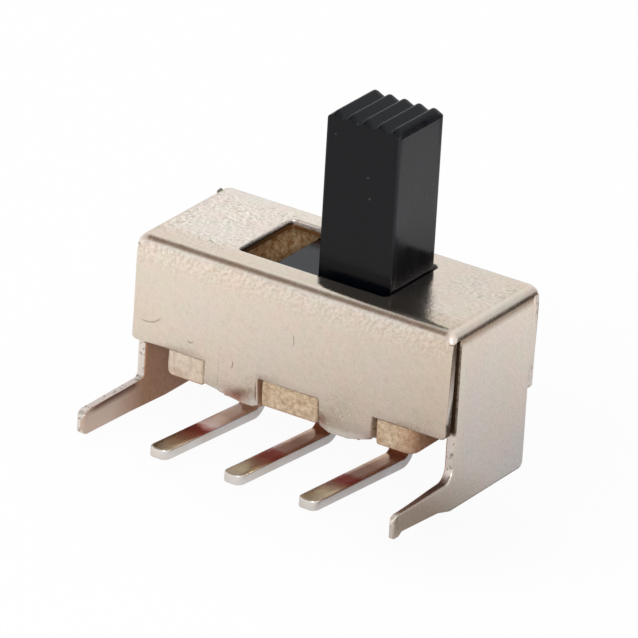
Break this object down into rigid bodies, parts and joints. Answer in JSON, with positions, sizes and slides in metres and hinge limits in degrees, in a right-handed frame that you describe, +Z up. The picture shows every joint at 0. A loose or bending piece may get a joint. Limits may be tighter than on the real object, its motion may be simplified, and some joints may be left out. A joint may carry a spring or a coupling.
{
  "type": "slide switch",
  "caption": "Miniature right-angle slide switch: folded metal case with anchor legs, a crimped terminal board, bent solder terminals and a tall ridged plastic knob that slides between two stops.",
  "frame": {"origin": "on the plane that the case stands on, under the middle of the case's length and depth", "axes": "+X along the knob's travel towards the stop where the knob is modelled, +Z up along the knob, -Y towards the tips of the terminals and legs"},
  "size_m": [0.0086, 0.0058, 0.0083],
  "materials": {
    "case_nickel": "thin folded steel sheet, satin nickel plate with a warm tone",
    "board_phenolic": "punched tan paper laminate, matt with fibrous edges",
    "terminal_silver": "silver-plated brass strip, soft sheen",
    "slider_black": "moulded black thermoplastic, half gloss",
    "clip_bronze": "sprung phosphor bronze, bright"
  },
  "bodies": {
    "housing": {"metal_case": "case_nickel", "terminal_board": "board_phenolic", "terminal_left": "terminal_silver", "terminal_common": "terminal_silver", "terminal_right": "terminal_silver"},
    "slider": {"slider": "slider_black", "contact_clip": "clip_bronze"}
  },
  "joints": [
    {"name": "knob_slide", "type": "slide", "parent": "housing", "child": "slider", "axis": [1, 0, 0], "range_m": [-0.002, 0]}
  ]
}
